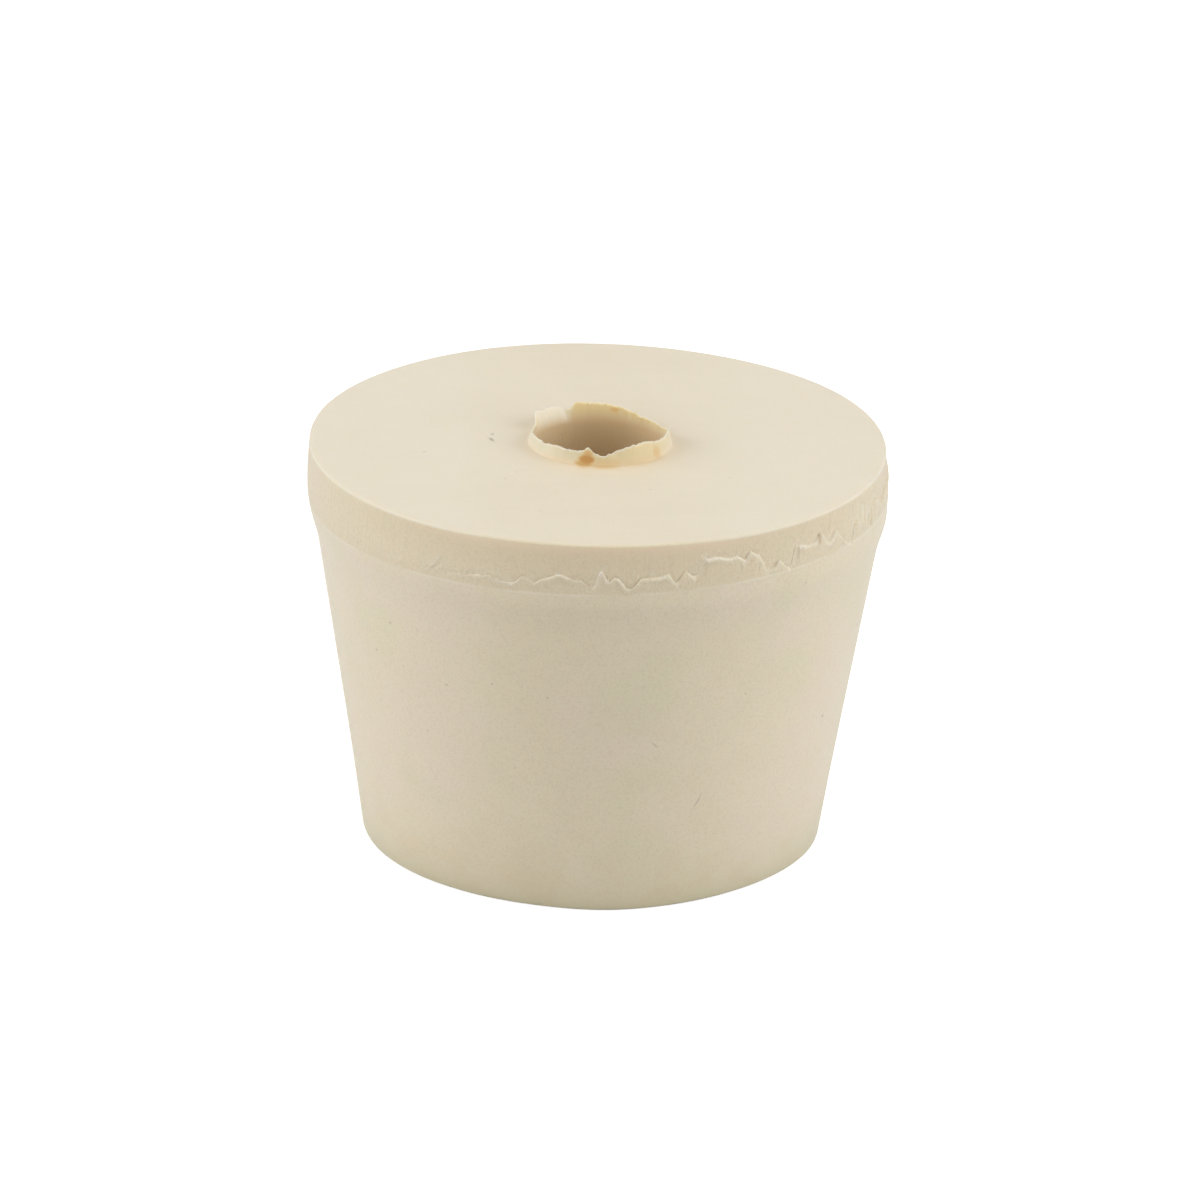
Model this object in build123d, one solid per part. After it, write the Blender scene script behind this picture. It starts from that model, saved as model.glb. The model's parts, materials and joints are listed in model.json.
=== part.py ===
"""One-hole rubber stopper: a tapered plug with a straight bore, moulded in one piece.

The head keeps what is left of its mould flash: a torn lip round the mouth of the bore,
and a ragged ledge of mould skin round the wall, where the trimmed part of the head ends.

Millimetres, +Z up. The origin is on the bore's axis, at the foot. Angles round the axis
start at the front, on -Y, and grow towards +X.
"""

from build123d import *
from math import cos, radians, sin, tan
import os

# Body
height = 25.0               # foot to top face
foot_diameter = 27.9        # cone carried down to the foot, without its edge radius
taper_angle = 9.26          # cone's wall from the axis
foot_edge_radius = 0.3
bore_diameter = 8.2         # grips a glass tube of about 9 mm
mouth_edge_chamfer = 0.3    # bore's lower edge

# Moulded head
flare_depth = 5.3           # below the top face, where the wall swells out of the cone
shoulder_depth = 3.7        # below the top face, where the flare turns up into the head
parting_depth = 3.1         # below the top face, where the mould's halves met
mould_diameter = 35.5       # widest, at the shoulder
mould_draft = 0.4           # the moulded wall's lean above the shoulder
flare_blend_radius = 1.5    # hollow where the flare leaves the cone
shoulder_blend_radius = 2.5

# Trimmed head: the wall was ground back from the top, a little off the bore's axis
trim_diameter = 34.9        # at the top face
trim_draft = 3.4            # the ground wall's lean, wider below
trim_shift = 0.1            # towards -X
top_edge_chamfer = 0.15

# Ledge of mould skin: depth of its torn edge below the top face, at each angle
front_skin_tears = [
    (-40, 3.10), (-34, 2.75), (-31.5, 2.30), (-30.5, 2.80), (-23, 2.55), (-16, 2.70),
    (-14.4, 2.20), (-12, 2.55), (-7.2, 1.90), (-2, 2.45), (-0.3, 2.60), (0.7, 1.40),
    (2.6, 2.25), (3.8, 1.95), (5.9, 2.70), (9.4, 2.10), (13.7, 2.00), (14.9, 2.45),
    (17.7, 1.85), (19.1, 2.15), (20.6, 1.80), (21.3, 0.95), (25.4, 1.25), (29.1, 1.35),
    (30.2, 1.65), (31.2, 1.05), (33, 1.35), (35.4, 2.50), (37.4, 2.40), (38.4, 1.85),
    (40.4, 2.75), (42.1, 1.30), (47.2, 1.70), (50, 1.15), (52, 2.10), (54.3, 1.30),
    (58.1, 2.65), (61.2, 2.90), (65, 1.70), (70.8, 0.70), (74, 2.00), (77.6, 2.25),
]
back_skin_start, back_skin_end = 84, 204
back_skin_points = 26
back_skin_depth = 1.7       # mean depth of the hidden stretch of the torn edge
back_skin_swing = 0.5       # how far that edge wanders up and down
back_skin_waves = [(11, 0.6), (29, 0.4)]    # waves round the head, and each one's share
left_skin_points = 8        # the left side was trimmed down to the parting line

# Lip: thin flash left standing round the bore's mouth, and its torn height at each angle
lip_base_wall = 0.26
lip_rim_wall = 0.12
lip_root_flare = 0.15       # how far the lip spreads where it meets the top face
lip_tears = [
    (-90, 0.60), (-77, 0.75), (-61, 0.82), (-55, 0.72), (-38, 0.93), (-17, 0.85), (-9.5, 1.12),
    (-3, 0.75), (4.5, 0.70), (15, 0.95), (28, 1.20), (43, 1.25), (60, 1.02), (74, 0.98),
    (90, 1.00), (104, 0.58), (116, 0.45), (130, 0.40), (150, 0.60), (162, 0.85), (175, 0.95),
    (189, 1.03), (200, 1.10), (205, 0.70), (216, 0.95), (230, 1.00), (240, 1.15), (252, 0.55),
]

tear_margin = 0.6           # how far a torn-off ring reaches past the rubber that it takes


def polar(radius, angle, z):
    """The point at an angle round the axis."""
    return (radius * sin(radians(angle)), -radius * cos(radians(angle)), z)


def torn_off_ring(inner_radius, outer_radius, edge, top):
    """The ring that a tear takes away: its underside follows the torn edge, (angle, z) by (angle, z)."""
    faces = []
    for (a, low_a), (b, low_b) in zip(edge, edge[1:] + edge[:1]):
        in_a, out_a = polar(inner_radius, a, low_a), polar(outer_radius, a, low_a)
        in_b, out_b = polar(inner_radius, b, low_b), polar(outer_radius, b, low_b)
        top_in_a, top_out_a = polar(inner_radius, a, top), polar(outer_radius, a, top)
        top_in_b, top_out_b = polar(inner_radius, b, top), polar(outer_radius, b, top)
        faces += [
            Face(Wire.make_polygon(corners))
            for corners in (
                (in_a, out_a, out_b),
                (in_a, out_b, in_b),
                (in_a, in_b, top_in_b, top_in_a),
                (out_a, top_out_a, top_out_b, out_b),
                (top_in_a, top_in_b, top_out_b, top_out_a),
            )
        ]
    return Solid(Shell(faces))


def wander(angle):
    """A ragged run of rises and dips between -1 and 1: waves out of step, added up."""
    return sum(share * sin(radians(waves * angle)) for waves, share in back_skin_waves)


def skin_edge():
    """Angle and height of the skin's torn edge, right round the head."""
    back_step = (back_skin_end - back_skin_start) / back_skin_points
    back_angles = [back_skin_start + back_step * i for i in range(back_skin_points)]
    front_start = front_skin_tears[0][0] + 360
    left_step = (front_start - back_skin_end) / left_skin_points
    left_angles = [back_skin_end + left_step * i for i in range(left_skin_points)]
    edge = front_skin_tears + [
        (angle, back_skin_depth + back_skin_swing * wander(angle)) for angle in back_angles
    ] + [(angle, parting_depth) for angle in left_angles]
    return [(angle, height - depth) for angle, depth in edge]


def moulded_plug():
    """The stopper as it left the mould, turned about the bore's axis."""
    bore_radius = bore_diameter / 2
    foot_radius = foot_diameter / 2
    mould_radius = mould_diameter / 2
    flare_z = height - flare_depth
    lip_top = height + max(rise for angle, rise in lip_tears)
    outline = FilletPolyline(
        (bore_radius, mouth_edge_chamfer),
        (bore_radius + mouth_edge_chamfer, 0),
        (foot_radius, 0),
        (foot_radius + flare_z * tan(radians(taper_angle)), flare_z),
        (mould_radius, height - shoulder_depth),
        (mould_radius - shoulder_depth * tan(radians(mould_draft)), height),
        (bore_radius + lip_base_wall + lip_root_flare, height),
        (bore_radius + lip_base_wall, height + lip_root_flare),
        (bore_radius + lip_rim_wall, lip_top),
        (bore_radius, lip_top),
        radius=[
            0, 0, foot_edge_radius, flare_blend_radius, shoulder_blend_radius,
            0, 0, 0, 0, 0,
        ],
        close=True,
    )
    return revolve(Plane.XZ * make_face(outline), Axis.Z)


def trimmings():
    """What the grinding took off the head's wall and top edge, down to the skin's torn edge."""
    ground_radius = trim_diameter / 2
    lean = tan(radians(trim_draft))
    low_z = height - parting_depth - tear_margin
    edge_z = height - top_edge_chamfer
    top_z = height + tear_margin
    edge_radius = ground_radius + top_edge_chamfer * lean
    outer_radius = mould_diameter / 2 + tear_margin
    section = Polyline(
        (ground_radius + (height - low_z) * lean, low_z),
        (outer_radius, low_z),
        (outer_radius, top_z),
        (edge_radius - (top_z - edge_z), top_z),
        (edge_radius, edge_z),
        close=True,
    )
    ring = Pos(-trim_shift, 0, 0) * revolve(Plane.XZ * make_face(section), Axis.Z)
    reach = 2 * tear_margin
    return ring & torn_off_ring(ground_radius - reach, outer_radius + reach, skin_edge(), top_z + reach)


def lip_loss():
    """What tore away above the lip."""
    bore_radius = bore_diameter / 2
    edge = [(angle, height + rise) for angle, rise in lip_tears]
    lip_top = max(z for angle, z in edge)
    return torn_off_ring(bore_radius - tear_margin, bore_radius + lip_base_wall + tear_margin,
                         edge, lip_top + tear_margin)


os.makedirs("parts", exist_ok=True)
stopper = moulded_plug() - trimmings() - lip_loss()
stopper.label = "stopper"
export_step(stopper, "parts/stopper.step")
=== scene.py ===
import json
import bpy
import numpy as np
from mathutils import Matrix, Vector


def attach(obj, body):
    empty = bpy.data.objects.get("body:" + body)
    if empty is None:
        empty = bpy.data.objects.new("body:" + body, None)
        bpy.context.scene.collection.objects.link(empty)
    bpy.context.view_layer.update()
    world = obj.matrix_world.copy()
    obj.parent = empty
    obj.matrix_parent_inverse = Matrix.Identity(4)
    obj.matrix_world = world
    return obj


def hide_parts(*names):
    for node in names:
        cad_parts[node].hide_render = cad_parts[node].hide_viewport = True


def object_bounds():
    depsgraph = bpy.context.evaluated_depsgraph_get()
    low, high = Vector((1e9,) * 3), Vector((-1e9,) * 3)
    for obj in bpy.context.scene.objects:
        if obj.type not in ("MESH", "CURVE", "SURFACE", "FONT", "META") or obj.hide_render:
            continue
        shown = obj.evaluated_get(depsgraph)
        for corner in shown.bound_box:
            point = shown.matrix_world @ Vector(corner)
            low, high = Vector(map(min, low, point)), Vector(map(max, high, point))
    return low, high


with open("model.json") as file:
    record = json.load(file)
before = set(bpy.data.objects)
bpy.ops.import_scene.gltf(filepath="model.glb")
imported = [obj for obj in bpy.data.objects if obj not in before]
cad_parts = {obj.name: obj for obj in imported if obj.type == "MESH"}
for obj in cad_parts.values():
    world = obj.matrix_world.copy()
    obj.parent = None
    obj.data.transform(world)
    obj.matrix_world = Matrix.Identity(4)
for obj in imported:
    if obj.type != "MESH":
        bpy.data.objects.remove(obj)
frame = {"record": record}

cad_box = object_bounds()

# Stopper: one solid plug of cream rubber, moulded upside down round a core pin, then ground
# round the head to trim its flash. What the grinding missed stands as a ragged ledge of mould
# skin, and a thin torn lip is left round the bore where the pin met the mould's lid.
MM = 0.001
bore = next(mount for mount in frame["record"]["mounts"] if mount["name"] == "bore")["dims"]
bore_radius, height = bore["r_mm"], bore["length_mm"]

# Sizes in mm, with depths counted down from the top face: the cone and its rounded edges, the
# flare under the head, the head as moulded and as ground, and the line that the mould left on it.
foot_radius, taper_slope = 13.95, 0.163
foot_edge, mouth_edge, top_edge = 0.3, 0.3, 0.18
flare_depth, flare_run, flare_swell, flare_blend = 6.0, 2.3, 0.22, 0.1
skin_radius, skin_shift, skin_draw, widest = 17.69, 0.05, 0.04, 17.735
ground_radius, ground_lean, ground_shift, ground_back, ground_lobe = 17.50, 0.0594, 0.18, 0.06, 0.045
ring_depth, ring_tilt, ring_fade = 3.12, 0.022, 0.2

# Points round a ring on the plain walls, the lip and the torn head.
coarse, lip_count, fine = 360, 720, 1440
chance = np.random.default_rng(65)


def around(count):
    """Angles round the axis in degrees: 0 at the front, growing towards +X."""
    return np.arange(count) * 360 / count


def angle_from(start, angles):
    """Degrees from one angle to others, the short way round, below 0 on its left."""
    return (angles - start + 180) % 360 - 180


def ease(t):
    """Smooth step from 0 to 1: three times the square less twice the cube."""
    t = np.clip(t, 0, 1)
    return t * t * (3 - 2 * t)


def hump(offset, width):
    """1 at no offset, falling away both ways: e to the minus square of the offset in widths."""
    return np.exp(-(offset / width) ** 2)


def stretch(place, start, end, rise, fall):
    """1 on a stretch and 0 outside it: eased in over the rise from start, and out over the fall to end."""
    return ease((place - start) / rise) * ease((end - place) / fall)


def soft_min(a, b, blend):
    """The lower of two surfaces, with their crossing rounded over the blend's width."""
    share = np.clip(0.5 + 0.5 * (b - a) / blend, 0, 1)
    return b * (1 - share) + a * share - blend * share * (1 - share)


def ragged(count, longest, shortest):
    """Noise round a ring with waves between two lengths in degrees, scaled to a spread of 1."""
    waves = np.fft.rfft(chance.normal(size=count))
    turns = np.arange(len(waves))
    waves[(turns < 360 / longest) | (turns > 360 / shortest)] = 0
    noise = np.fft.irfft(waves, count)
    return noise / noise.std()


def through(points, angles):
    """Values read round the ring from a few (angle, value) points, straight between them."""
    where, value = np.array(points).T
    return np.interp(angles, where, value, period=360)


def shifted(ring, reach):
    """The ring turned by every number of points up to the reach, both ways, one copy to a row."""
    return np.array([np.roll(ring, shift) for shift in range(-reach, reach + 1)])


def column(*values):
    """A column of row values, one per ring."""
    return np.concatenate([np.atleast_1d(value) for value in values])[:, None]


# The torn edge of the mould skin round the head: angle, depth.
least_tear, deepest_tear = 0.5, 3.1
skin_tears = [
    (-48, 3.1), (-38, 2.95), (-33, 2.7), (-31.4, 2.25), (-30.8, 2.75), (-26, 2.65), (-23.1, 2.5),
    (-21, 2.45), (-18, 2.7), (-16, 2.68), (-14.4, 2.15), (-13.4, 2.3), (-11.9, 2.55), (-9.9, 2.15),
    (-8.6, 2.05), (-7.2, 1.88), (-5.8, 2.0), (-4.4, 2.2), (-3.2, 2.2), (-2.0, 2.45), (-0.2, 2.75),
    (0.3, 1.5), (0.9, 1.42), (1.9, 2.15), (2.6, 2.25), (3.8, 1.95), (4.7, 2.15), (5.9, 2.72),
    (7.6, 2.65), (8.2, 2.15), (9.4, 2.08), (12.1, 2.02), (13.7, 2.0), (14.5, 1.76), (14.9, 2.44),
    (16.6, 2.3), (17.2, 1.86), (18.1, 1.84), (18.7, 2.14), (19.6, 2.1), (20.5, 1.8), (20.9, 0.92),
    (21.5, 1.15), (23.3, 1.08), (25.4, 1.25), (27.5, 1.3), (29.1, 1.33), (30.2, 1.63), (30.8, 1.5),
    (31.1, 1.05), (32, 1.25), (33.2, 1.36), (34.4, 1.99), (35.4, 2.53), (37, 2.45), (37.8, 2.35),
    (38.1, 1.86), (39.2, 2.3), (40.4, 2.75), (41.8, 2.5), (42.1, 1.26), (43, 1.48), (45.6, 1.69),
    (47.2, 1.69), (48.6, 1.6), (50, 1.13), (51, 1.7), (52, 2.1), (53.6, 1.8), (54.3, 1.32),
    (55.2, 1.6), (56.2, 1.99), (58.1, 2.6), (60.6, 2.85), (61.5, 1.9), (63.5, 1.5), (65.1, 1.68),
    (67.5, 2.4), (69.7, 2.74), (70.8, 1.1), (73, 1.3), (77.6, 2.2), (83, 1.5), (92, 1.6),
]
# Behind the head it wanders on as it does in front, up to where the skin is whole.
hidden_start, hidden_end, hidden_step = 96, 206, 1.6
hidden_middle, hidden_sway, hidden_turns, hidden_spread = 1.75, 0.42, 7.3, 0.28
hidden = np.arange(hidden_start, hidden_end, hidden_step)
hidden_depth = (hidden_middle + hidden_sway * np.sin(np.radians(hidden_turns * hidden))
                + chance.normal(0, hidden_spread, len(hidden)))
skin_tears += list(zip(hidden, np.clip(hidden_depth, 0.8, 2.9)))
skin_tears += [(hidden_end + 4, deepest_tear)]

angle = around(fine)
side, front = np.sin(np.radians(angle)), np.cos(np.radians(angle))
tear = through(skin_tears, angle) + 0.035 * ragged(fine, 6, 1.4)
tear = np.clip(np.mean(shifted(tear, 2), 0), least_tear, deepest_tear)
torn_stretch = stretch(angle_from(80, angle), -130, 128, 20, 12)


def moulded(down):
    """Wall as it left the mould: the foot's radius plus slope times rise, swelling into the flare by
    an eased step, and never wider than the head."""
    cone = foot_radius + taper_slope * (height - down)
    flare = cone + flare_swell * ease((flare_depth - down) / flare_run)
    return soft_min(flare, skin_radius - skin_shift * side - skin_draw * torn_stretch, flare_blend)


def ground(down):
    """Wall left by the grinding: a slight cone, its radius growing by the lean times the depth, set off
    the bore's axis, and lobed by sines of 2 and 3 turns and two humps where the trim was held by hand."""
    lobes = ground_lobe * (np.sin(np.radians(3 * angle)) - np.sin(np.radians(2 * angle)))
    corners = 0.17 * hump(angle_from(-132, angle), 20) + 0.23 * hump(angle_from(126, angle), 28)
    off_centre = ground_shift * side + ground_back * front
    return ground_radius - off_centre - lobes + corners + ground_lean * down


# Rows of the head, close together at the tear, spreading to the flare below and the edge above.
below_edge = column([0.29, 0.19, 0.12, 0.07, 0.03, 0])
above_edge = column([0.02, 0.05, 0.09, 0.15, 0.23])
rows_below, rows_above, rows_edge = 16, 7, 5
fall = column(np.linspace(1, 0, rows_below + 1)[:-1] ** 1.2)
climb = column(np.linspace(0, 1, rows_above + 1)[1:])
lowest, highest = tear + below_edge[0], tear - above_edge[-1]
below = np.vstack([lowest + (flare_depth + 0.25 - lowest) * fall, tear + below_edge])
above = np.vstack([tear - above_edge, highest + (top_edge - highest) * climb])
depth = np.vstack([below, above])
skin = np.arange(len(depth))[:, None] < len(below)

# Distance to the torn edge, the shortest to any point of it within a short way round.
step = np.radians(360 / fine) * ground_radius
gap_reach = 14
edge_gap = np.min([np.hypot(shift * step, depth - np.roll(tear, shift))
                   for shift in range(-gap_reach, gap_reach + 1)], 0)

# How strongly the skin's edge curls out: angle, strength. It hardly does where the tear is upright.
curls = [
    (-50, 0), (-27, 0.1), (-24, 0.35), (-21, 0.15), (-18, 0.7), (-15.5, 0.7), (-14.5, 0.3),
    (-10.5, 0.4), (-9, 0.9), (-5.5, 0.9), (-4.5, 0.25), (-3, 0.1), (-0.4, 0.1), (0, 1), (2.4, 1),
    (3, 0.6), (3.6, 0.9), (5.8, 0.9), (6.6, 0.15), (9.5, 0.2), (11.8, 0.4), (12.4, 0.8), (14.6, 0.8),
    (15.4, 0.3), (18, 0.3), (19, 0.7), (20.4, 0.7), (21, 1), (29.5, 1), (30.3, 0.2), (31.2, 0.9),
    (34.5, 0.6), (36, 0.2), (37, 0.5), (42, 0.5), (43.2, 0.9), (47, 0.8), (50, 0.3), (51.5, 1),
    (54, 0.9), (55, 0.2), (56.5, 0.6), (58, 0.2), (62, 0.3), (70, 0.2), (95, 0.3), (100, 0.6),
    (200, 0.6), (230, 0),
]
curl = torn_stretch * through(curls, angle) * np.clip(0.85 + 0.15 * ragged(fine, 16, 3.5), 0, 1.1)
upright = ease(np.abs(np.gradient(tear)) / step / 2 - 0.5)
upright = np.max(shifted(upright, 3), 0)
level = 1 - upright

# The skin stands on the ground wall as a ledge with the curl on its edge, over a shallow scoop.
curl_height, scoop_depth = 0.075, 0.05
ledge = 0.08 - 0.065 * upright + 0.22 * edge_gap + 0.3 * (1 - torn_stretch)
roll = curl_height * curl * (1 - 0.7 * upright) * hump(edge_gap - 0.09, 0.12)
scoop = scoop_depth * torn_stretch * level * hump(edge_gap, 0.18)
wall = np.where(skin, np.minimum(moulded(depth), ground(depth) + ledge) + roll,
                np.minimum(moulded(depth), ground(depth) - scoop))

# Paint at the tear: pale torn rubber with painted highlights, a scar on the right, painted shadows.
# The torn rubber is pale, and where the edge curls the same paint is also a painted highlight.
torn = np.where(skin, 0.6, 0.3) * curl * (1 - 0.5 * upright) * hump(edge_gap, 0.20)
scar = hump(angle_from(67, angle), 6) * hump(depth - 1.5, 0.6)
torn = np.maximum(torn, 0.6 * scar * ease(0.2 + 0.5 * ragged(fine, 3, 0.8)))
rough = torn_stretch * hump(edge_gap, 0.5)
# Painted shadow: a line on the ground wall along the edge where it does not curl, and a band under the curl.
edge_shadow_line = np.where(skin, 0, 0.06) * torn_stretch * (1 - curl) * level * hump(edge_gap, 0.09)
curl_shadow = np.where(skin, 0.20, 0) * curl ** 2 * level * hump(edge_gap - 0.34, 0.10)
grime = np.maximum(edge_shadow_line, curl_shadow)

# Grinding marks run up the trimmed wall, coarser on its left, fading out at its top edge.
left_side = hump(angle_from(-58, angle), 14)
marks = 0.0022 * ragged(fine, 12, 2.2) + (0.0015 + 0.004 * left_side) * ragged(fine, 2.2, 0.7)
wall += np.where(skin, 0, marks * ease((depth - 0.1) / 0.5))

# Slits where the skin has parted: angle, depth from and to, slant in mm, half width in mm, cut.
slits = [
    (33.5, 1.9, 2.4, 0.12, 0.07, 0.04), (49.4, 1.35, 1.75, 0.0, 0.12, 0.03),
    (49.4, 1.3, 1.8, 0.15, 0.08, 0.07), (52.6, 0.9, 1.5, 0.05, 0.05, 0.03),
    (57.0, 2.0, 2.5, 0.10, 0.06, 0.02), (61.2, 0.55, 1.2, 0.04, 0.06, 0.02),
]
slit_end, slit_fade, slit_darkening = 0.1, 0.15, 8
for where, top, bottom, slant, half_width, cut in slits:
    aside = (np.radians(angle_from(where, angle)) * ground_radius
             + slant * (depth - top) / (bottom - top))
    slit = hump(aside, half_width) * stretch(depth, top - slit_end, bottom + slit_end, slit_fade, slit_fade)
    # Each slit is cut into the wall and painted darker along it.
    wall -= cut * slit
    grime = np.maximum(grime, slit_darkening * cut * slit)


def scatter(number, angles, depths, sizes, heights):
    """Crumbs (heights above 0) or pits (below 0) at random on a stretch of wall: their humps summed."""
    relief = np.zeros_like(depth)
    draws = [chance.uniform(*span, number) for span in (angles, depths, sizes, heights)]
    for where, down, size, tall in zip(*draws):
        aside = np.radians(angle_from(where, angle)) * ground_radius
        relief += tall * hump(np.hypot(aside, depth - down), size)
    return relief


crumbs = (scatter(46, (-50, -6), (1.9, 2.8), (0.07, 0.12), (0.02, 0.06))
          + scatter(34, (0, 60), (1.7, 2.7), (0.06, 0.11), (0.02, 0.06))
          + scatter(22, (60, 86), (0.6, 2.7), (0.07, 0.13), (0.02, 0.07))
          + scatter(40, (90, 204), (1.0, 2.7), (0.07, 0.13), (0.02, 0.06)))
pits = (scatter(30, (61, 86), (0.5, 2.7), (0.07, 0.12), (-0.05, -0.02))
        + scatter(16, (92, 200), (0.8, 2.6), (0.07, 0.13), (-0.08, -0.03)))
wall = np.minimum(wall + crumbs + pits, widest)
most_specks = 0.35
torn = np.maximum(torn, np.clip(crumbs / 0.2, 0, most_specks))
grime = np.maximum(grime, np.clip(-pits / 0.15, 0, most_specks))
scuffed = stretch(angle_from(74, angle), -14, 14, 6, 6) * stretch(depth, 0.4, 2.9, 0.4, 0.3)
rough = np.maximum(rough, scuffed)

# The top edge is a quarter round, and the trimmed look fades out across it.
edge_turn = column(np.linspace(0, np.pi / 2, rows_edge + 1)[1:])
wall = np.vstack([wall, wall[-1] - top_edge * (1 - np.cos(edge_turn))])
depth = np.vstack([depth, top_edge * (1 - np.sin(edge_turn)) + np.zeros(fine)])
grime, torn, rough = (np.vstack([paint, np.zeros((rows_edge, fine))]) for paint in (grime, torn, rough))
ring_line = ring_depth - ring_tilt * ground_radius * side
trimmed = ease((ring_line - depth) / ring_fade + 0.5)
trimmed[-rows_edge:] = column(np.linspace(1, 0, rows_edge))

# The foot is a little out of round, and the cone above it runs true again: angle, mm added.
foot_swell = [
    (-90, 0.06), (-66, 0.13), (-50, 0.06), (-36, -0.06), (-14, -0.12), (-4, 0.0), (5, 0.09), (13, 0.0),
    (25, -0.12), (39, -0.20), (50, -0.16), (60, -0.07), (73, 0.05), (90, 0.06), (180, 0),
]
swell_height, cone_step = 3.5, 1.5
out_of_round = np.mean(shifted(through(foot_swell, around(coarse)), 4), 0)
foot_rim = foot_radius + out_of_round
foot_turn = column(np.linspace(0, np.pi / 2, 7)[1:])
foot_z = foot_edge * (1 - np.cos(foot_turn))
cone_z = column(foot_edge + 0.3, np.arange(cone_step, height - flare_depth - 0.3, cone_step))
cone = foot_radius + taper_slope * cone_z + out_of_round * hump(cone_z, swell_height)

# The torn lip's height round the bore: angle, mm above the top face.
lip_points = [
    (-90, 0.62), (-77, 0.78), (-61, 0.82), (-55, 0.72), (-46, 0.84), (-38, 0.93), (-30, 0.88),
    (-22, 0.86), (-17, 0.86), (-13, 0.98), (-9.5, 1.14), (-6, 0.9), (-3, 0.76), (1, 0.67),
    (4.5, 0.62), (9, 0.78), (15, 0.94), (22, 1.1), (28, 1.2), (33, 1.19), (36, 1.24), (43, 1.23),
    (52, 1.08), (60, 1.0), (68, 0.96), (76, 1.02), (84, 1.06), (92, 0.98), (98, 0.75), (104, 0.56),
    (112, 0.46), (120, 0.44), (130, 0.4), (138, 0.5), (142, 0.46), (150, 0.62), (158, 0.7),
    (162, 0.86), (166, 0.84), (175, 0.95), (183, 0.98), (189, 1.03), (196, 1.06), (200, 1.16),
    (202.5, 1.05), (205, 0.72), (209, 0.60), (213, 0.8), (220, 0.92), (230, 0.9), (240, 1.02),
    (246, 0.9), (252, 0.5), (262, 0.52),
]
lip_tallest = 1.24
lip_angle = around(lip_count)
rim = np.minimum(through(lip_points, lip_angle) + 0.018 * ragged(lip_count, 14, 2.5), lip_tallest)

# It sways a little, and its flap at the back left leans outwards. It stands on a flared root.
flap = stretch(angle_from(226, lip_angle), -26, 26, 14, 12)
sway = 0.03 * ragged(lip_count, 120, 24) + 0.012 * ragged(lip_count, 24, 7)
lean = sway + 0.40 * flap
lean_bend = 1.6
lip_base, lip_thickness, lip_inset = bore_radius + 0.26, 0.095, 0.25
root_reach, root_share = 0.12, 0.12
root = column(np.linspace(0, 1, 6)[:-1])
rise_out, rise_in = column(np.linspace(root_share, 1, 9)), column(np.linspace(1, 0, 10))
root_radius = lip_base + root_reach * (1 - root) ** 2.2
root_z = height + root_share * rim * root ** 3
outer = (lip_base - (lip_base - bore_radius - lip_thickness) * ease(rise_out) ** 0.6
         + lean * rise_out ** lean_bend)
outer_z = height + rim * rise_out
inner = bore_radius + lean * rise_in ** lean_bend
inner_z = height - lip_inset + (rim + lip_inset) * rise_in
bore_depths = np.array([0.5, 0.9, 1.4, 2.4, 4, 7, 12, 19])
bore_z = column(height - bore_depths, mouth_edge)

# Amber stains: angle, height, half width in degrees, half height, strength.
stains = [
    (-12.5, 0.17, 8.3, 0.20, 0.80), (-10.4, 0.42, 7.2, 0.28, 1.15), (-9.6, 0.70, 4.6, 0.32, 0.70),
    (54, 0.34, 5.5, 0.44, 0.46), (5, 0.03, 13, 0.10, 0.50), (4, 0.16, 20, 0.36, 0.36),
    (-34, 0.12, 24, 0.26, 0.14), (-30, 0.02, 30, 0.08, 0.20), (38, 0.12, 28, 0.34, 0.30),
    (168, 0.62, 4.5, 0.18, 0.62), (96, 0.6, 10, 0.4, 0.10),
]
stain_edge = 2.2


def amber(z):
    """Amber stains on the lip: the strongest of its oval spots, each e to minus a power of the squared
    distance in half sizes, so that it is flat inside with a soft edge."""
    total = np.zeros(np.broadcast(z, lip_angle).shape)
    for where, high, wide, tall, strength in stains:
        oval = (angle_from(where, lip_angle) / wide) ** 2 + ((z - height - high) / tall) ** 2
        total = np.maximum(total, strength * np.exp(-oval ** stain_edge))
    return total


# The thin lip lets light through at the back, where it is seen from inside, and has yellowed in front.
# Painted highlight along the top of the lip's outer wall.
lip_rim_highlight = ease(rise_out * 6 - 5)
yellowed = ease((angle_from(0, lip_angle) + 70) / 110) * (1 - 0.6 * ease(angle_from(50, lip_angle) / 30))
back_light = ease((0.05 - np.cos(np.radians(lip_angle))) / 0.5)
glow_depth, glow_fade = -1.0, 1.0


def inner_glow(z):
    """Light that comes through the thin lip: 1 above the glow's depth, and a hump of the rest below."""
    return hump(np.clip(height - glow_depth - z, 0, None), glow_fade)


def band(radius, z, count, **paint):
    """Rings of one column count: radius and height by row and column, and the paint on them."""
    radius, z = np.broadcast_arrays(np.atleast_2d(radius), np.atleast_2d(z))
    radius, z = (np.broadcast_to(values, (len(values), count)) for values in (radius, z))
    return radius, z, {name: np.broadcast_to(value, radius.shape) for name, value in paint.items()}


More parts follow.
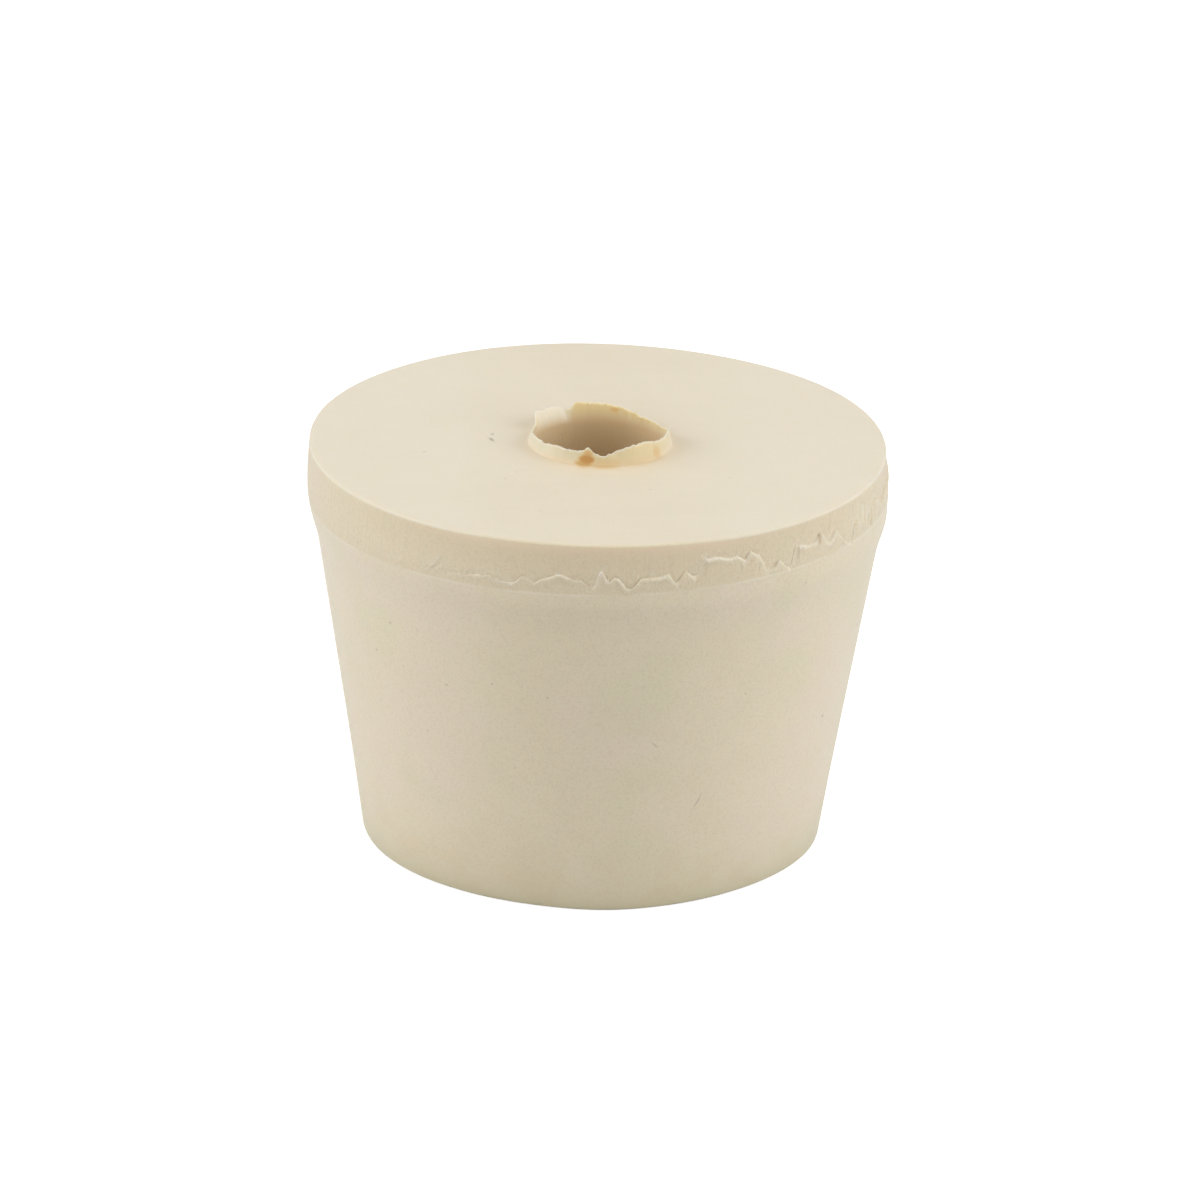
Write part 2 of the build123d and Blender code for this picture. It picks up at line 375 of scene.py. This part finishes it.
# From the lip down the bore, across the foot, up the wall, over the top face and up the lip again.
foot_rings, top_rings, top_start = (7, 11), (16, 14, 11.5, 9, 7, 5.6, 5.0), wall[-1].mean() - 0.35
stopper_bands = [
    band(bore_radius, bore_z, coarse, inside=1, glow=inner_glow(bore_z)),
    band(column(bore_radius + mouth_edge, foot_rings), 0, coarse),
    band(foot_rim - foot_edge, 0, coarse),
    band(foot_rim - foot_edge * (1 - np.sin(foot_turn)) + taper_slope * foot_z, foot_z, coarse),
    band(cone, cone_z, coarse),
    band(wall, height - depth, fine, grime=grime, ground=trimmed, torn=torn, rough=rough),
    band(column(top_start, top_rings), height, coarse),
    band(root_radius, root_z, lip_count, lip=0.35 * root, amber=amber(root_z)),
    band(outer, outer_z, lip_count, lip=ease(rise_out * 2), amber=amber(outer_z),
         torn=0.5 * lip_rim_highlight, warm=yellowed),
    # Painted light on the flap's upturned inner face: paler, with less lip colour, glow and warmth.
    band(inner, inner_z, lip_count, lip=ease(rise_in * 1.3) * (1 - 0.5 * flap),
         amber=amber(inner_z), inside=1 - rise_in, torn=0.55 * flap * ease(rise_in * 1.5),
         glow=inner_glow(inner_z) * (1 - 0.7 * flap) * (0.15 + 0.85 * back_light),
         warm=(1 - 0.8 * flap) * (0.2 + 0.8 * back_light)),
]


def stitch(lower, upper):
    """Faces between two rings of vertex numbers: squares where they match, else fans of triangles."""
    share = max(len(lower), len(upper)) // min(len(lower), len(upper))
    if share == 1:
        return np.stack([lower, np.roll(lower, -1), np.roll(upper, -1), upper], 1).tolist()
    few, many = (lower, upper) if len(lower) < len(upper) else (upper, lower)
    few_next = np.roll(few, -1)
    fans = [np.roll(many, -turn)[::share] for turn in range(share + 1)]
    triangles = [np.stack([few if turn < share // 2 else few_next, fans[turn + 1], fans[turn]], 1)
                 for turn in range(share)]
    triangles = np.concatenate(triangles + [np.stack([few, few_next, fans[share // 2]], 1)])
    return (triangles if few is lower else triangles[:, ::-1]).tolist()


def turned_piece(name, bands):
    """A closed skin of rings: each point at x = r sin a, y = -r cos a, ring after ring round the section."""
    points, paints, rings, total = [], {}, [], 0
    for radius, z, paint in bands:
        turn = np.radians(around(radius.shape[1]))
        points.append(np.stack([radius * np.sin(turn), -radius * np.cos(turn), z], -1).reshape(-1, 3) * MM)
        for key in ("ground", "inside", "lip", "amber", "grime", "torn", "rough", "glow", "warm"):
            values = np.asarray(paint.get(key, np.zeros_like(radius)), float)
            paints.setdefault(key, []).append(values.ravel())
        for row in range(len(radius)):
            rings.append(np.arange(total, total + radius.shape[1]))
            total += radius.shape[1]
    faces = [face for lower, upper in zip(rings, rings[1:] + rings[:1]) for face in stitch(lower, upper)]
    mesh = bpy.data.meshes.new(name)
    mesh.from_pydata(np.concatenate(points).tolist(), [], faces)
    for key, values in paints.items():
        layer = mesh.attributes.new(key, "FLOAT", "POINT")
        layer.data.foreach_set("value", np.concatenate(values).astype(np.float32))
    mesh.shade_smooth()
    mesh.update()
    piece = bpy.data.objects.new(name, mesh)
    bpy.context.collection.objects.link(piece)
    return piece


class Shade:
    """A shader socket that takes part in sums: each operator adds its Math node."""

    def __init__(self, tree, socket=None):
        self.tree, self.socket = tree, socket

    def make(self, kind, settings=None, inputs=None, output=0):
        """Adds a node with its settings first, then its values or links, and returns one output."""
        node = self.tree.nodes.new(kind)
        for name, value in (settings or {}).items():
            setattr(node, name, value)
        for name, value in (inputs or {}).items():
            if isinstance(value, Shade):
                self.tree.links.new(value.socket, node.inputs[name])
            else:
                node.inputs[name].default_value = value
        return Shade(self.tree, node.outputs[output] if len(node.outputs) else None)

    def math(self, operation, *values, clamp=False):
        """A Math node on the values given; this socket only says which material it goes into."""
        return self.make("ShaderNodeMath", {"operation": operation, "use_clamp": clamp},
                         dict(enumerate(values)))

    def __add__(self, other):
        return self.math("ADD", self, other)

    def __radd__(self, other):
        return self.math("ADD", other, self)

    def __sub__(self, other):
        return self.math("SUBTRACT", self, other)

    def __rsub__(self, other):
        return self.math("SUBTRACT", other, self)

    def __mul__(self, other):
        return self.math("MULTIPLY", self, other)

    def __rmul__(self, other):
        return self.math("MULTIPLY", other, self)

    def __truediv__(self, other):
        return self.math("DIVIDE", self, other)

    def root(self):
        """The square root."""
        return self.math("SQRT", self)

    def at_most(self, most):
        """The smaller of this value and another."""
        return self.math("MINIMUM", self, most)

    def at_least(self, least):
        """The larger of this value and another."""
        return self.math("MAXIMUM", self, least)

    def fading(self):
        """e to the power of this value, and never over 1."""
        return self.math("EXPONENT", self, clamp=True)

    def bell(self):
        """1 at 0, falling away to nothing on both sides beyond about 2."""
        return (self * self * -1).fading()

    def within(self, low, high):
        """0 below low, 1 above high, smooth between."""
        return self.make("ShaderNodeMapRange", {"interpolation_type": "SMOOTHSTEP"},
                         {"Value": self, "From Min": low, "From Max": high})

    def blend(self, colour, other):
        """This value as the share of the way from one colour to the other."""
        return self.make("ShaderNodeMix", {"data_type": "RGBA"}, {0: self, 6: colour, 7: other}, output=2)


cream = (0.862, 0.765, 0.575, 1)
cream_shade = (0.838, 0.735, 0.540, 1)
ground_cream = (0.787, 0.672, 0.468, 1)
edge_tan = (0.860, 0.700, 0.500, 1)
bore_shade = (0.755, 0.575, 0.340, 1)
lip_cream = (0.765, 0.700, 0.535, 1)
lip_warm = (0.770, 0.640, 0.390, 1)
torn_white = (0.930, 0.870, 0.740, 1)
amber_brown = (0.560, 0.290, 0.070, 1)
amber_pale = (0.730, 0.530, 0.250, 1)
grime_brown = (0.400, 0.280, 0.150, 1)
speckle_tan = (0.560, 0.450, 0.270, 1)
rust_and_shade = (0.800, 0.640, 0.440, 1)
rosy = (0.865, 0.750, 0.600, 1)
olive = (0.800, 0.735, 0.520, 1)
foot_shade = (0.640, 0.580, 0.385, 1)
fleck_brown = (0.170, 0.120, 0.080, 1)
no_glow, lip_glow = (0, 0, 0, 1), (0.180, 0.130, 0.050, 1)

# Dirt flecks: place in mm, half sizes along x and up (or back, on the top face), slant, strength.
flecks = [
    (-6.58, -0.05, height, 0.11, 0.28, -0.35, 0.7), (-6.54, 0.90, height, 0.09, 0.15, 0, 0.5),
    (3.75, -15.4, 11.5, 0.07, 0.16, -0.9, 0.35), (6.4, -13.7, 7.26, 0.04, 0.38, 0.5, 0.45),
    (9.1, -13.3, 14.2, 0.05, 0.05, 0, 0.3), (-4.6, -15.2, 9.6, 0.05, 0.05, 0, 0.3),
    (12.0, -10.5, 6.2, 0.05, 0.06, 0, 0.35), (-9.9, -12.0, 10.8, 0.05, 0.05, 0, 0.35),
    (-10.6, -12.2, 17.6, 0.05, 0.05, 0, 0.35), (3.1, -7.9, height, 0.06, 0.09, 0, 0.3),
    (-5.64, -6.66, height, 0.07, 0.12, 0.4, 0.22), (-4.94, -5.50, height, 0.10, 0.06, 0, 0.22),
    (-3.42, -11.9, height, 0.07, 0.10, 0.3, 0.20), (-10.6, -2.4, height, 0.09, 0.12, 0, 0.25),
    (-6.5, -11.9, height, 0.12, 0.06, 0, 0.16), (7.9, -5.6, height, 0.08, 0.10, 0, 0.2),
    (-6.07, -15.3, 15.15, 0.07, 0.06, 0, 0.3), (12.5, -12.0, 21.0, 0.05, 0.06, 0, 0.35),
    (-12.3, -11.4, 17.4, 0.06, 0.07, 0, 0.4), (-13.1, -9.8, 15.0, 0.06, 0.06, 0, 0.4),
    (-8.8, -13.7, 14.4, 0.06, 0.06, 0, 0.4), (-2.75, -16.1, 14.7, 0.05, 0.06, 0, 0.35),
    (13.9, -7.2, 10.3, 0.06, 0.09, 0, 0.4), (15.9, -4.1, 15.1, 0.06, 0.08, 0, 0.35),
]


def rubber():
    """Cream rubber: faint mottling and streaks, the mould's ring line, dirt flecks, and the mesh's paint."""
    material = bpy.data.materials.new("cream_rubber")
    material.use_nodes = True
    tree = material.node_tree
    shader = tree.nodes["Principled BSDF"]
    start = Shade(tree)
    place = start.make("ShaderNodeTexCoord", output="Object")
    x, y, z = (start.make("ShaderNodeSeparateXYZ", {}, {0: place}, output=axis) / MM for axis in range(3))

    def noise(size, drawn=(1, 1, 1), detail=3):
        """Noise in cells of a size in mm, drawn out along each axis."""
        cells = start.make("ShaderNodeVectorMath", {"operation": "MULTIPLY"},
                           {0: place, 1: tuple(1 / (MM * size * longer) for longer in drawn)})
        return start.make("ShaderNodeTexNoise", {}, {"Vector": cells, "Scale": 1.0, "Detail": detail})

    def painted(name):
        """The mesh's own paint of a name, from 0 to about 1."""
        return start.make("ShaderNodeAttribute", {"attribute_name": name}, output="Fac")

    def fleck(at_x, at_y, at_z, wide, tall, slant, strength):
        """A speck of dirt on the top face or the wall: bells across it, along it and off the surface."""
        along, off = (y - at_y, z - at_z) if at_z == height else (z - at_z, y - at_y)
        across_fleck = (x - at_x - along * slant) / wide
        return across_fleck.bell() * (along / tall).bell() * (off * 0.5).bell() * strength

    ground_paint, torn_paint, grime_paint = painted("ground"), painted("torn"), painted("grime")
    lip_paint, inside_paint, amber_paint = painted("lip"), painted("inside"), painted("amber")
    rough_paint = painted("rough")

    down = height - z
    on_side = down.within(0.05, 0.3)
    off_axis = (x * x + y * y).root()
    across = x * x / (ground_radius * ground_radius)
    ring = ((ring_depth - down - x * ring_tilt) / 0.085).bell() * noise(5, detail=1).within(0.25, 0.5)
    ring = ring * (1 - torn_paint)
    fine_crumbs = noise(0.13, (1, 1, 1.6), detail=1).within(0.58, 0.70) * rough_paint
    fine_holes = noise(0.17, (1, 1, 1.3), detail=1).within(0.60, 0.70) * rough_paint

    # The bare rubber, rosy and olive in patches, duller where it was ground.
    mottle = noise(6, detail=4)
    patches = noise(2.2, (2, 1, 1), detail=2)
    streaks = noise(0.35, (9, 1, 1), detail=2)
    grain = noise(0.16, detail=2)
    mixed = mottle * 0.5 + patches * 0.2 + streaks * 0.2 + grain * 0.1
    colour = mixed.within(0.35, 0.65).blend(cream_shade, cream)
    colour = (noise(8, detail=1).within(0.45, 0.7) * on_side * 0.6).blend(colour, rosy)
    colour = (noise(5, detail=1).within(0.5, 0.7) * on_side * 0.5).blend(colour, olive)
    # The ground tint thins to the left and right: painted sheen there over the wall's own duller tint.
    colour = (ground_paint * (0.92 - across * 0.5)).blend(colour, ground_cream)
    colour = (ground_paint * down.within(0.6, 2.6) * 0.5).blend(colour, cream_shade)
    colour = (ground_paint * noise(0.22, detail=2).within(0.4, 0.75) * 0.13).blend(colour, speckle_tan)

    # Rust near the foot, fine speckle all over, tan under the top edge and a painted highlight along it.
    near_foot = (z * -0.35).fading()
    rusty = noise(1.6, (1.5, 1, 1)).within(0.45, 0.62) * near_foot
    colour = (rusty * 0.6).blend(colour, rust_and_shade)
    speckle = noise(0.07, detail=1).within(0.4, 0.75) + noise(0.17, detail=1).within(0.45, 0.75)
    colour = (speckle * (on_side * 0.6 + 0.4) * 0.15).blend(colour, speckle_tan)
    below_rim = down.within(0.12, 0.24) * (down * -2.4 + 0.6).fading()
    in_front = 0.8 - across.within(0.05, 0.6) * 0.8
    colour = (ground_paint * below_rim * in_front).blend(colour, edge_tan)
    # Painted highlight along the top edge on the left and right.
    edge_highlight = ((down - 0.10) / 0.10).bell() * across.within(0.02, 0.3)
    colour = (edge_highlight * 0.6).blend(colour, torn_white)
    # Painted shade: the wall darkens towards the floor.
    colour = (z * -0.75).fading().blend(colour, foot_shade)
    colour = (ring * 0.42).blend(colour, torn_white)

    # The bore, the lip with a halo of painted shade, and tears, stains, dirt, painted highlights and
    # shadows.
    # Painted shade: the bore and the lower lip inside are darker and warmer than the rubber outside.
    colour = inside_paint.blend(colour, bore_shade)
    colour = lip_paint.blend(colour, painted("warm").blend(lip_cream, lip_warm))
    # Painted shade: a rust-coloured halo on the top face round the lip's foot.
    lip_foot_shade = (off_axis * -0.9 + 4.2).fading() * down.within(0.5, 0.01)
    colour = (lip_foot_shade * (1 - lip_paint) * (1 - inside_paint) * 0.28).blend(colour, rust_and_shade)
    colour = (torn_paint + fine_crumbs * 0.5).at_most(1).blend(colour, torn_white)
    colour = amber_paint.within(0, 0.6).blend(colour, amber_pale)
    colour = amber_paint.within(0.4, 1.1).blend(colour, amber_brown)
    colour = (grime_paint + fine_holes * 0.12).at_most(1).blend(colour, grime_brown)
    colour = sum(fleck(*row) for row in flecks).blend(colour, fleck_brown)

    grit = grain * (0.4 + on_side * 0.5) + noise(0.5) * 0.4 + streaks * 0.3
    relief = grit + ring * 0.8 + fine_crumbs * 1.1 - fine_holes * 0.4
    bump = start.make("ShaderNodeBump", {}, {"Strength": 0.3, "Distance": 0.05 * MM, "Height": relief})
    varied = {
        "Base Color": colour, "Normal": bump, "Roughness": 0.50 + mottle * 0.12 + ground_paint * 0.12,
        "Emission Color": painted("glow").blend(no_glow, lip_glow),
    }
    for name, value in varied.items():
        tree.links.new(value.socket, shader.inputs[name])
    even = {
        "Emission Strength": 1, "IOR": 1.5, "Sheen Weight": 0.3, "Sheen Roughness": 0.6,
        "Subsurface Weight": 0.25, "Subsurface Radius": (1.0, 0.7, 0.4), "Subsurface Scale": 0.5 * MM,
    }
    for name, value in even.items():
        shader.inputs[name].default_value = value
    return material


stopper = turned_piece("moulded_stopper", stopper_bands)
stopper.data.materials.append(rubber())
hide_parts("stopper")
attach(stopper, "root")

# Floor: a wide pale sheet just under the stopper, white to the camera and half as bright to the
# rubber, so that it keeps the stopper's own shadow. It is clear from below, to show the foot.
floor_half, floor_gap = 3.0, 0.02 * MM
floor_z = cad_box[0][2] - floor_gap
floor_corners = [(-floor_half, -floor_half), (floor_half, -floor_half),
                 (floor_half, floor_half), (-floor_half, floor_half)]
floor_mesh = bpy.data.meshes.new("floor")
floor_mesh.from_pydata([(x, y, floor_z) for x, y in floor_corners], [], [(0, 1, 2, 3)])
floor = bpy.data.objects.new("floor", floor_mesh)
bpy.context.collection.objects.link(floor)


def seen_by(start):
    """1 for what the camera sees, straight or by reflection or through glass, and 0 for other light."""
    camera_ray, glossy_ray, glass_ray = (
        start.make("ShaderNodeLightPath", output=name)
        for name in ("Is Camera Ray", "Is Glossy Ray", "Is Transmission Ray"))
    return camera_ray.at_least(glossy_ray).at_least(glass_ray)


floor_material = bpy.data.materials.new("pale_floor")
floor_material.use_nodes = True
floor_material.node_tree.nodes.clear()
paper = Shade(floor_material.node_tree)
paper_white = paper.make("ShaderNodeEmission", {}, {"Color": (1, 1, 1, 1), "Strength": seen_by(paper) * 0.8})
paper_grey = paper.make("ShaderNodeBsdfDiffuse", {}, {"Color": (0.6, 0.6, 0.6, 1)})
paper_top = paper.make("ShaderNodeAddShader", {}, {0: paper_white, 1: paper_grey})
from_below = paper.make("ShaderNodeNewGeometry", output="Backfacing")
clear = paper.make("ShaderNodeBsdfTransparent")
one_sided = paper.make("ShaderNodeMixShader", {}, {0: from_below, 1: paper_top, 2: clear})
paper.make("ShaderNodeOutputMaterial", {}, {"Surface": one_sided})
floor_mesh.materials.append(floor_material)

# Light: an even white tent all round, one wide soft lamp overhead, and a wide soft lamp low on
# each side, turned up a little towards the stopper's wall.
tent_level = 0.29
world = bpy.data.worlds.new("tent")
world.use_nodes = True
bpy.context.scene.world = world
world.node_tree.nodes.clear()
tent = Shade(world.node_tree)
tent_strength = tent_level + seen_by(tent) * (1 - tent_level)
background = tent.make("ShaderNodeBackground", {}, {"Color": (1, 1, 1, 1), "Strength": tent_strength})
tent.make("ShaderNodeOutputWorld", {}, {"Surface": background})


def lamp(name, shape, size, energy, placed):
    """A soft lamp of a size in metres and a power in watts, shining down its own axis."""
    light = bpy.data.lights.new(name, "AREA")
    light.shape, light.size, light.energy = shape, size, energy
    holder = bpy.data.objects.new(name, light)
    holder.matrix_world = placed
    bpy.context.collection.objects.link(holder)


lamp("overhead", "DISK", 0.5, 0.82, Matrix.Translation((0, 0, 0.6)))
side_place, side_tilt = (0, -0.6, 0.25), np.radians(68)
for side_turn in (-75, 75):
    lamp("side_lamp", "SQUARE", 0.6, 2.65,
         Matrix.Rotation(np.radians(side_turn), 4, "Z") @ Matrix.Translation(side_place)
         @ Matrix.Rotation(side_tilt, 4, "X"))

# Camera: a long lens a little above the bench, with the slight turn of the picture it took.
# Its distance and the point it looks at are in mm, and its rise and roll are in radians.
camera_distance, camera_rise, camera_roll = 597.06, 0.37605, -0.02458
aim_x, aim_up = -0.2460, -13.6526
picture_width, focal_length = 1200, 9679.47
lens = bpy.data.cameras.new("camera")
lens.sensor_width = 36
lens.lens = lens.sensor_width * focal_length / picture_width
lens.clip_start, lens.clip_end = 0.01, 100
camera = bpy.data.objects.new("camera", lens)
ahead = Vector((0, np.cos(camera_rise), -np.sin(camera_rise)))
up, right = Vector((0, np.sin(camera_rise), np.cos(camera_rise))), Vector((1, 0, 0))
camera_place = -aim_x * right - aim_up * up - camera_distance * ahead
turned_right = np.cos(camera_roll) * right - np.sin(camera_roll) * up
turned_up = np.sin(camera_roll) * right + np.cos(camera_roll) * up
camera_turn = Matrix((turned_right, turned_up, -ahead)).transposed().to_4x4()
camera.matrix_world = Matrix.Translation(camera_place * MM) @ camera_turn
bpy.context.collection.objects.link(camera)
bpy.context.scene.camera = camera
bpy.context.scene.view_settings.view_transform = "Standard"
